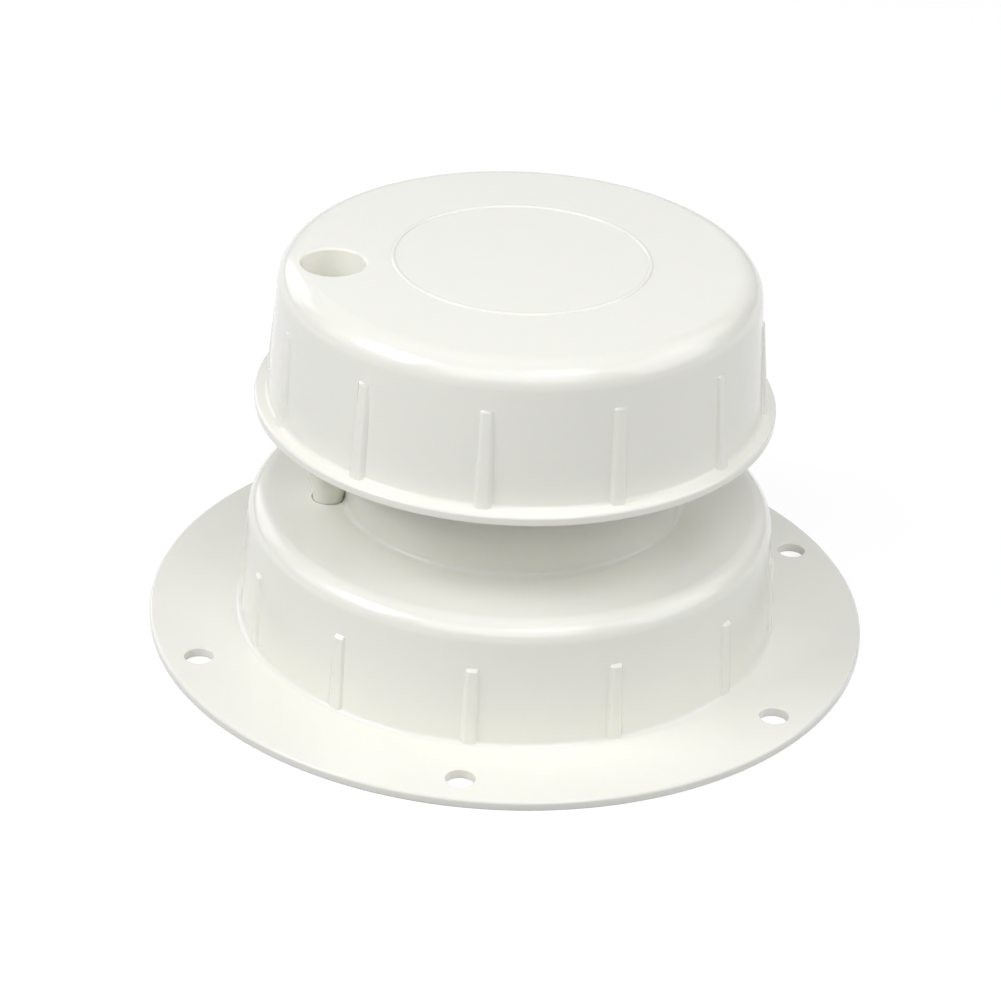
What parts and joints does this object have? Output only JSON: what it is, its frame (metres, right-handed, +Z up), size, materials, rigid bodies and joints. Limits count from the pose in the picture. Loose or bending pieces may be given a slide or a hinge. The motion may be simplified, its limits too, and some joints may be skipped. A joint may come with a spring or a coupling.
{
  "type": "roof vent cap",
  "caption": "Round white roof vent: flanged ribbed dome with a neck and stepped rubber pipe seal, under a ribbed rain cap held by one screw in a deep recess.",
  "frame": {"origin": "centre of the flange's underside, on the axis of the neck and the pipe seal", "axes": "+Z up, away from the roof, along the axis of the neck; -Y is the front of the picture, and the screw post is on the -X side"},
  "size_m": [0.184, 0.184, 0.1006],
  "materials": {
    "white_plastic": "glossy injection-moulded off-white plastic",
    "seal_rubber": "matt black rubber",
    "stainless": "bright stainless steel"
  },
  "bodies": {
    "base": {"base": "white_plastic", "pipe_seal": "seal_rubber"},
    "cap": {"cap": "white_plastic"},
    "washer": {"screw_washer": "stainless", "screw_seal": "seal_rubber"},
    "screw": {"cap_screw": "stainless"}
  },
  "joints": [
    {"name": "cap_lift", "type": "slide", "parent": "base", "child": "cap", "axis": [0, 0, 1], "range_m": [0, 0.045]},
    {"name": "screw_rise", "type": "slide", "parent": "cap", "child": "washer", "axis": [0, 0, 1], "range_m": [0, 0.0126]},
    {"name": "screw_turn", "type": "hinge", "parent": "washer", "child": "screw", "pos_m": [-0.04576, -0.00704, 0.05], "axis": [0, 0, 1], "range_deg": [0, 3240]}
  ],
  "couplings": [
    {"joint": "screw_turn", "follows": "screw_rise", "rad_per_m": 4488}
  ]
}
